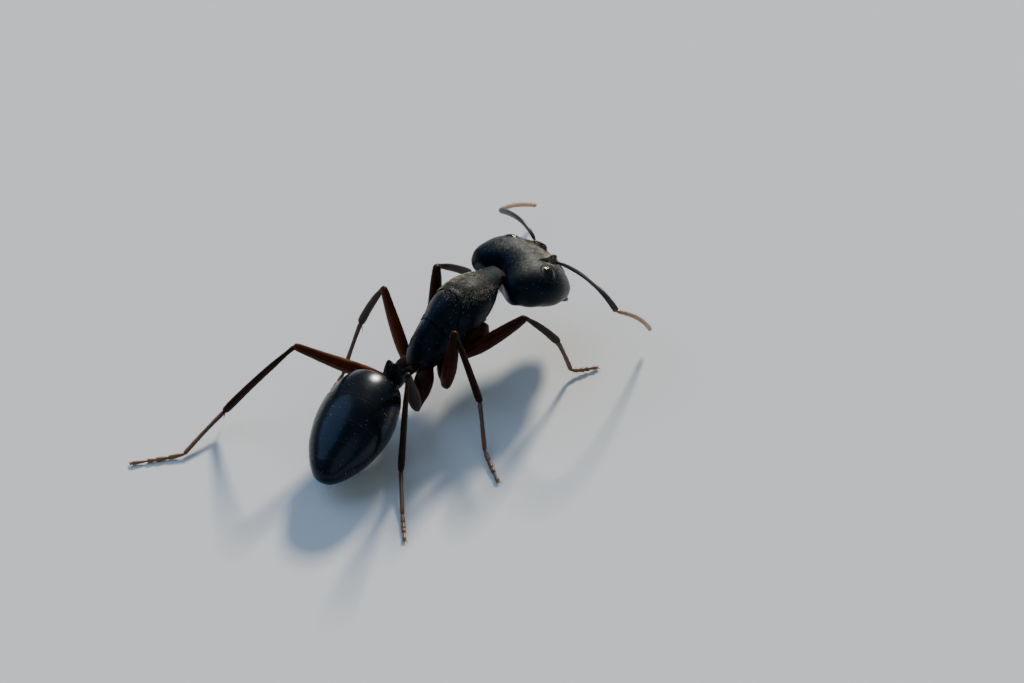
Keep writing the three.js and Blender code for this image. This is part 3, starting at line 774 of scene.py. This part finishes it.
gaster_body = body_surface(GASTER_ROWS, GASTER["length"], 0.0, 2.05)
seams = [t * GASTER["length"] for t in GASTER_SEAMS]
gaster_edges = [None] + [[(-1.5, seam - 0.12), (1.5, seam + 0.12)] for seam in seams] + [None]
gaster_skins = []
for i in range(5):
    ring = plate_points(gaster_body, gaster_edges[i], gaster_edges[i + 1], rings=100 if i < 2 else 70,
                        around=220, tuck=0.014 if i else 0.0, lip=0.003 if i < 4 else 0.0, overlap=0.1)
    x, y, z = xyz(ring)
    # Each upper plate laps over the lower one along the side.
    lap = -0.3 - 0.12 * smooth(y, 0.5, 3.0)
    ring = raised(ring, -0.02 * smooth(lap - z, -0.015, 0.03))
    ring_tone = 0.06 * smooth(lap - z, 0.0, 0.1)
    if i < 4:
        ring_tone = 0.4 * smooth(y - seams[i] - 0.08 * z, -0.06, -0.01) + ring_tone
    gaster_skins.append(skin(set_in(ring, GASTER), ring_tone))
    shell(f"gaster_plate_{i + 1}", gaster_skins[-1:], gaster_shell, [f"gaster_{i + 1}"])

# Soft stalks of skin join the head to the trunk, and the trunk to the scale and the gaster.
STALKS = {
    "neck_skin": ((0, -2.2, 0.1), TRUNK, (0, 1.2, -0.85), HEAD, 0.2),
    "waist_skin": ((0, 1.95, -0.2), TRUNK, (0, -0.6, -0.12), PETIOLE, 0.17),
    "gaster_skin": ((0, 0.6, -0.13), PETIOLE, (0, 0.25, -0.1), GASTER, 0.2),
}
for name, (start, part, end, next_part, radius) in STALKS.items():
    start, end = set_in(start, part), set_in(end, next_part)
    t = np.linspace(0, 1, 60)
    folds = 1 + 0.03 * np.cos(2 * np.pi * 7 * t)
    thick = radius * folds * capped(t, 0.1, 0.1)
    stalk = tube(start + (end - start) * t[:, None], thick, 0.95 * thick, np.array([1.0, 0.0, 0.1]), 36)
    shell(name, [skin(stalk, 0.15)], joint_skin, [])


# ---- Legs and feelers ----
def segment(start, end, rows, across, flat, rings, around, bow=0.0, power=2.0):
    """A leg segment from its rows of depth, closed at both ends and bent by `bow` at its middle. Returns
    its rings and how far along each is."""
    t = np.sort(np.concatenate([np.linspace(0, 1, rings), [0.004, 0.012, 0.988, 0.996]]))
    path = start + (end - start) * t[:, None] + np.array(bow) * (4 * t * (1 - t))[:, None]
    deep = profile(rows, t) * capped(t, 0.02, 0.02)
    return tube(path, deep, deep * flat, across, around, power), t


# Half the depth of each segment, from its base to its end.
COXA = [(0, 0.25), (0.35, 0.37), (0.72, 0.31), (0.92, 0.2), (1, 0.17)]
FORE_COXA = [(0, 0.26), (0.25, 0.46), (0.5, 0.48), (0.8, 0.32), (0.93, 0.21), (1, 0.17)]
TROCHANTER = [(0, 0.14), (0.3, 0.18), (0.75, 0.17), (1, 0.14)]
FEMUR = {
    "fore": [(0, 0.14), (0.07, 0.2), (0.25, 0.285), (0.5, 0.28), (0.8, 0.22), (0.93, 0.17), (1, 0.13)],
    "mid": [(0, 0.14), (0.07, 0.2), (0.3, 0.26), (0.55, 0.245), (0.8, 0.19), (0.93, 0.16), (1, 0.12)],
    "hind": [(0, 0.13), (0.06, 0.18), (0.25, 0.26), (0.5, 0.25), (0.8, 0.185), (0.94, 0.155), (1, 0.13)],
}
TIBIA = [(0, 0.075), (0.04, 0.095), (0.1, 0.085), (0.3, 0.12), (0.7, 0.142), (0.93, 0.145), (1, 0.11)]
BASITARSUS = [(0, 0.06), (0.05, 0.085), (0.4, 0.075), (0.9, 0.085), (1, 0.07)]
TOE = [(0, 0.035), (0.15, 0.055), (0.8, 0.078), (1, 0.06)]
LAST_TOE = [(0, 0.03), (0.3, 0.045), (0.85, 0.07), (1, 0.055)]
PAD = [(0, 0.03), (0.6, 0.04), (1, 0.02)]
SCAPE = [(0, 0.04), (0.012, 0.08), (0.03, 0.075), (0.05, 0.045), (0.12, 0.065), (0.5, 0.08), (0.85, 0.103),
         (0.97, 0.108), (1, 0.08)]
PEDICEL = [(0, 0.035), (0.12, 0.045), (0.75, 0.074), (1, 0.058)]
JOINT = [(0, 0.045), (0.08, 0.062), (0.8, 0.076), (0.95, 0.073), (1, 0.052)]
LAST_JOINT = [(0, 0.042), (0.1, 0.058), (0.55, 0.074), (0.85, 0.05), (1, 0.018)]
WHIP_JOINTS = [0.13, 0.1, 0.095, 0.09, 0.088, 0.085, 0.082, 0.08, 0.078, 0.078, 0.094]  # their lengths
COXA_END, TROCHANTER_START = 0.9, 0.84  # shares of the way from the hip to the thigh's base
# How warm the thigh of each leg is at its base: the paler the thinner its shell. The left thighs are set
# much warmer than the right ones as painted backlight, an orange glow as if light shone through them from
# behind, and the right thighs are kept dark as painted shade.
THIGH_TAN_AND_PAINTED_LIGHT = {"left_fore": 0.35, "right_fore": 0.3, "left_mid": 1.0, "right_mid": 0.35, "left_hind": 0.9,
        "right_hind": 0.15}
COXA_GLOW = {"fore": 0.22, "mid": 0.28, "hind": 0.1}
STREAKS = 0.32 * (np.cos(7 * angles(32)) + np.cos(11 * angles(32) + 1.3))  # lengthwise, round a leg


def spike(start, way, length, radius, toward, curl):
    """A tapering, curved spike, such as a claw or a spur."""
    t = np.linspace(0, 1, 14)
    way, toward = unit(way), unit(toward)
    path = start + length * (t[:, None] * way + curl * (t ** 2)[:, None] * toward)
    thick = radius * np.sqrt(np.clip(t / 0.04, 0, 1)) * (1 - 0.92 * t) * (1 - smooth(t, 0.98, 1.0))
    return skin(tube(path, thick, thick, np.cross(way, toward) + 1e-6, 8), 0.9)


def make_foot(ankle, ball, claw, shin, thigh, across):
    """The foot: a long first piece, three short ones that widen to their ends, one that bears the claws,
    and the pad between them. The two claws come apart."""
    steps = np.array([ball + (claw - ball) * k for k in (0, 0.3, 0.54, 0.7, 1.0)])
    steps[:, 2] = np.linspace(ball[2], claw[2] + 0.02, 5) * np.array([1, 0.7, 0.75, 0.85, 1])
    steps[1:4, 2] = np.maximum(steps[1:4, 2], 0.08)
    long_piece, t = segment(ankle - shin * 0.03, ball, BASITARSUS, across, 0.9, 50, 20, thigh * 0.03)
    pieces = [skin(long_piece, (0.22 + 0.3 * smooth(t, 0.2, 1))[:, None])]
    for here, there, rows in zip(steps, steps[1:], (TOE, TOE, TOE, LAST_TOE)):
        ahead = unit(there - here)
        aside = np.cross(ahead, [0, 0, 1])
        toe, t = segment(here - ahead * 0.03, there, rows, aside, 1.05, 24, 16)
        pieces.append(skin(toe, (0.45 + 0.3 * t)[:, None]))
    tip, aside = steps[4], unit(aside)
    claws = [spike(tip - ahead * 0.02 + aside * hand * 0.025, ahead + aside * hand * 0.55 + [0, 0, 0.25],
                   0.17, 0.026, np.array([0, 0, -1]), 0.55) for hand in (1, -1)]
    pad, _ = segment(tip, tip + ahead * 0.075 + [0, 0, -0.02], PAD, aside, 1.2, 10, 10)
    return pieces + [skin(pad, 1.0)], claws


limb_skins, foot_skins = {"left": [], "right": []}, []
for leg, places in LEGS.items():
    side, pair = leg.split("_")
    base, knee, ankle, ball, claw = (np.array(p) for p in places)
    hip = set_in(np.array(HIPS[pair]) * [1 if side == "left" else -1, 1, 1], TRUNK)
    across = unit(np.cross(knee - base, ankle - knee))
    thigh, shin = unit(knee - base), unit(ankle - knee)

    coxa, t = segment(hip, hip + COXA_END * (base - hip), FORE_COXA if pair == "fore" else COXA, across,
                      0.92, 50, 40, power=2.1)
    coxa_skin = skin(coxa, (COXA_GLOW[pair] + 0.2 * smooth(t, 0.55, 1.0))[:, None])
    shell(f"coxa_plate_{leg}", [coxa_skin], leg_shell, [f"coxa_{leg}"])
    ring, t = segment(hip + TROCHANTER_START * (base - hip), base + thigh * 0.16, TROCHANTER, across, 0.85,
                      24, 24)
    shell(f"trochanter_ring_{leg}", [skin(ring, 0.35)], leg_shell, [f"trochanter_{leg}"])

    bow = unit(np.cross(across, thigh)) * 0.05
    femur, t = segment(base - thigh * 0.02, knee, FEMUR[pair], across, 0.8, 80, 32, bow, 2.2)
    # Warmest at the thigh's base and fading towards the knee; on the left thighs this warmth is partly real
    # tan and partly painted backlight, on the right thighs the darkness is partly painted shade.
    tan_and_painted_light = THIGH_TAN_AND_PAINTED_LIGHT[leg] * (1 - 0.6 * smooth(t, 0.25, 0.9))
    femur_skin = skin(femur, np.clip(tan_and_painted_light[:, None] * (1 + STREAKS), 0, 1))
    shell(f"thigh_{leg}", [femur_skin], leg_shell, [f"femur_{leg}"])

    tibia, t = segment(knee - thigh * 0.07, ankle, TIBIA, across, 0.8, 80, 28, thigh * 0.07, 2.15)
    tibia_tone = 0.06 + 0.3 * smooth(-t, -0.1, 0) + 0.25 * smooth(t, 0.88, 1)
    tibia_skin = skin(tibia, tibia_tone[:, None])
    spur = spike(ankle - shin * 0.06, shin - 0.8 * np.cross(shin, across), 0.36 if pair == "fore" else 0.42,
                 0.032, shin, 0.25)
    shell(f"shin_{leg}", [tibia_skin, spur], leg_shell, [f"tibia_{leg}"])
    limb_skins[side] += [coxa_skin, femur_skin, tibia_skin]

    foot, claws = make_foot(ankle, ball, claw, shin, thigh, across)
    foot_skins += foot[:5]
    shell(f"claws_{leg}", claws, tip_shell, [])
    shell(f"foot_{leg}", foot, tip_shell, [f"tarsus_{leg}"])


def through(places, t):
    """Points at t on a smooth curve through three places."""
    a, b, c = np.array(places)
    middle = 2 * b - (a + c) / 2
    t = t[:, None]
    return (1 - t) ** 2 * a + 2 * t * (1 - t) * middle + t ** 2 * c


whip_skins = []
upward = np.array([0.0, 0.0, 1.0])
for side, parts in FEELERS.items():
    t = np.sort(np.concatenate([np.linspace(0, 1, 110), np.linspace(0, 0.06, 20), [0.994, 0.998]]))
    radius = profile(SCAPE, t) * capped(t, 0.008, 0.012)
    scape = tube(through(parts["scape"], t), radius, radius, upward)
    scape_tone = 0.4 * (1 - smooth(t, 0.02, 0.07)) + 0.25 * smooth(t, 0.94, 1)
    scape_skin = skin(scape, scape_tone[:, None])
    limb_skins[side].append(scape_skin)
    shell(f"scape_shaft_{side}", [scape_skin], scape_shell, [f"scape_{side}"])

    marks = np.concatenate([[0], np.cumsum(WHIP_JOINTS)]) / sum(WHIP_JOINTS)
    whip = []
    for k in range(11):
        rows = PEDICEL if k == 0 else (LAST_JOINT if k == 10 else JOINT)
        u = np.sort(np.concatenate([np.linspace(0, 1, 20), [0.01, 0.03, 0.97, 0.99]]))
        t = marks[k] + (marks[k + 1] - marks[k]) * (u * 1.04 - 0.04 * (k > 0))
        thick = profile(rows, u) * capped(u, 0.04, 0.04)
        joint = tube(through(parts["funiculus"], t), thick, thick, upward, 20)
        whip.append(skin(joint, (0.4 + 0.4 * k / 10 + 0.15 * u)[:, None]))
    whip_skins += whip
    shell(f"whip_{side}", whip, whip_shell, [f"funiculus_{side}"])


# ---- Coat ----
def in_frame(s, part):
    """The points of a skin in its part's own frame, and each coordinate on its own."""
    axes, place = frame_of(part)
    return xyz((s["grid"] - place) @ axes)


# Close, short down lies on the face and along the back.
CLOSE_DOWN = {"length": 0.075, "radius": 0.0037, "lean": 10, "stray": 0.32}
x, y, z = in_frame(head_skin, HEAD)
near_eye = spot(np.stack([np.abs(x), y, z], -1), EYE["place"], (0.34, 0.36, 0.3))
head_cover = (0.006 + 0.015 * smooth(z, -0.9, -0.2) + 0.94 * face_down) * (1 - 0.9 * near_eye)
coat("down_head", [covered(head_skin, head_cover)], down_hair, "body_cuticle", per_mm2=1150, seed=3,
     **CLOSE_DOWN)

trunk_down = []
for s in (pronotum_skin, mesothorax_skin, propodeum_skin):
    x, y, z = in_frame(s, TRUNK)
    top = along(TRUNK_ROWS, (y - TRUNK["front"]) / TRUNK["length"])[..., 1]
    patch = smooth(z - top, -0.6, -0.15) * smooth(-y, -0.1, 1.2)
    trunk_down.append(covered(s, (0.014 + patch) * (1 - 0.95 * smooth(-y, 1.75, 2.05))))
trunk_down.append(covered(petiole_skin, 0.03))
coat("down_trunk", trunk_down, down_hair, "body_cuticle", per_mm2=860, seed=5, **CLOSE_DOWN)

coat("down_gaster", gaster_skins, down_hair, "gaster_cuticle", per_mm2=11, seed=7,
     length=0.07, radius=0.003, lean=8)
for side, skins in limb_skins.items():
    coat(f"leg_down_{side}", skins, leg_hair, "leg_cuticle", per_mm2=230, seed=9,
         length=0.08, radius=0.0031, lean=14)
coat("foot_down", foot_skins + whip_skins, leg_hair, "tip_cuticle", per_mm2=380, seed=11,
     length=0.07, radius=0.0032, lean=26, stray=0.35)

# Long bristles stand in few places: the brow, the back of the head, the crests and the plate edges.
x, y, z = in_frame(head_skin, HEAD)
brow = 1.2 * smooth(-y, 0.3, 0.6) * smooth(z, -0.9, -0.6) + 0.35 * smooth(z, -0.2, 0.0)
bristled = [covered(head_skin, brow + 0.5 * smooth(-z, 1.5, 1.7) + 0.5 * smooth(y, 1.3, 1.7))]
for s, part, share, low, high in (
        (pronotum_skin, TRUNK, 0.6, 0.9, 1.2), (mesothorax_skin, TRUNK, 0.6, 1.1, 1.35),
        (propodeum_skin, TRUNK, 0.6, 0.5, 0.95), (petiole_skin, PETIOLE, 9, 0.6, 0.9)):
    bristled.append(covered(s, share * smooth(in_frame(s, part)[2], low, high)))
coat("bristles_body", bristled, bristle_hair, "body_cuticle", per_mm2=2.4, seed=13,
     length=0.34, radius=0.0062, lean=62, stray=0.3, shortest=0.5, rings=3)

edged = []
for i, s in enumerate(gaster_skins):
    x, y, z = in_frame(s, GASTER)
    rear = seams[i] if i < 4 else GASTER["length"]
    near_edge = 3.0 * bell(y - rear + 0.22, 0.07)
    edged.append(covered(s, near_edge + 0.5 * smooth(-z, 0.5, 0.9) + (3.0 if i == 4 else 0.25)))
coat("bristles_gaster", edged, bristle_hair, "gaster_cuticle", per_mm2=1.2, seed=17,
     length=0.36, radius=0.006, lean=50, shortest=0.5, rings=3)

# ---- Floor, lights and camera ----
REACH = 40.0  # half the floor's width, in metres
# A board painted matt pale grey.
board, board_tree = new_material("matt_board")
paint = add_node(board_tree, "ShaderNodeBsdfPrincipled", inputs={
    "Base Color": linear("#c4c8ca"), "Roughness": 0.9})
add_node(board_tree, "ShaderNodeOutputMaterial", inputs={"Surface": paint})
floor_mesh = bpy.data.meshes.new("floor")
floor_mesh.from_pydata([(-REACH, -REACH, 0), (REACH, -REACH, 0), (REACH, REACH, 0), (-REACH, REACH, 0)], [],
                       [(0, 1, 2, 3)])
floor_mesh.materials.append(board)
floor = bpy.data.objects.new("floor", floor_mesh)
bpy.context.scene.collection.objects.link(floor)

RIGHT = np.array([-math.sqrt(0.5), -math.sqrt(0.5), 0.0])  # to the right of the view
AWAY = np.array([math.sqrt(0.5), -math.sqrt(0.5), 0.0])  # level, away from the camera
UP = np.array([0.0, 0.0, 1.0])
MIDDLE = (np.array([0.238, -3.233, 0.0]) + CENTRE) * MM  # what the camera looks at, on the floor


def lamp(name, way, spread, strength, colour):
    """A large far softbox: its way from the ant, how wide it looks in degrees, and its strength."""
    light = bpy.data.lights.new(name, "SUN")
    light.angle = math.radians(spread)
    light.energy = strength
    light.color = linear(colour)[:3]
    made = bpy.data.objects.new(name, light)
    made.location = Vector(MIDDLE + unit(way) * 0.3)
    made.rotation_euler = Vector(-unit(way)).to_track_quat("-Z", "Y").to_euler()
    bpy.context.scene.collection.objects.link(made)


lamp("key_softbox", 0.32 * RIGHT + 1.0 * AWAY + 0.6 * UP, spread=9, strength=5.6, colour="#fff1dc")
lamp("sky_softbox", -0.8 * RIGHT + 0.25 * AWAY + 1.0 * UP, spread=60, strength=1.6, colour="#a9c8f5")
lamp("front_softbox", 0.4 * RIGHT - 1.0 * AWAY + 0.7 * UP, spread=50, strength=0.42, colour="#e2e8e0")

world = bpy.data.worlds.new("studio")
world.use_nodes = True
studio = world.node_tree
studio.nodes.clear()
# The room gives a weak cool light all round; past the floor's edge it looks like more of the floor.
room = add_node(studio, "ShaderNodeBackground", inputs={"Color": linear("#bccfe4"), "Strength": 0.34})
backdrop = add_node(studio, "ShaderNodeBackground", inputs={"Color": linear("#dadde1"), "Strength": 1.0})
seen = add_node(studio, "ShaderNodeLightPath")
both = add_node(studio, "ShaderNodeMixShader", inputs={
    0: seen.outputs["Is Camera Ray"], 1: room, 2: backdrop})
add_node(studio, "ShaderNodeOutputWorld", inputs={"Surface": both})
bpy.context.scene.world = world

LENS, SENSOR = 300.0, 36.0  # in mm
FRAME_WIDTH = 36.57 * MM  # what the picture is wide at the ant
TILT = math.radians(40)
lens = bpy.data.cameras.new("camera")
lens.lens, lens.sensor_width = LENS, SENSOR
lens.clip_start, lens.clip_end = 0.01, 5.0
camera = bpy.data.objects.new("camera", lens)
look_from = MIDDLE + (-AWAY * math.cos(TILT) + UP * math.sin(TILT)) * FRAME_WIDTH * LENS / SENSOR
camera.location = Vector(look_from)
camera.rotation_euler = (Vector(MIDDLE) - Vector(look_from)).to_track_quat("-Z", "Y").to_euler()
bpy.context.scene.collection.objects.link(camera)
bpy.context.scene.camera = camera

bpy.context.view_layer.update()
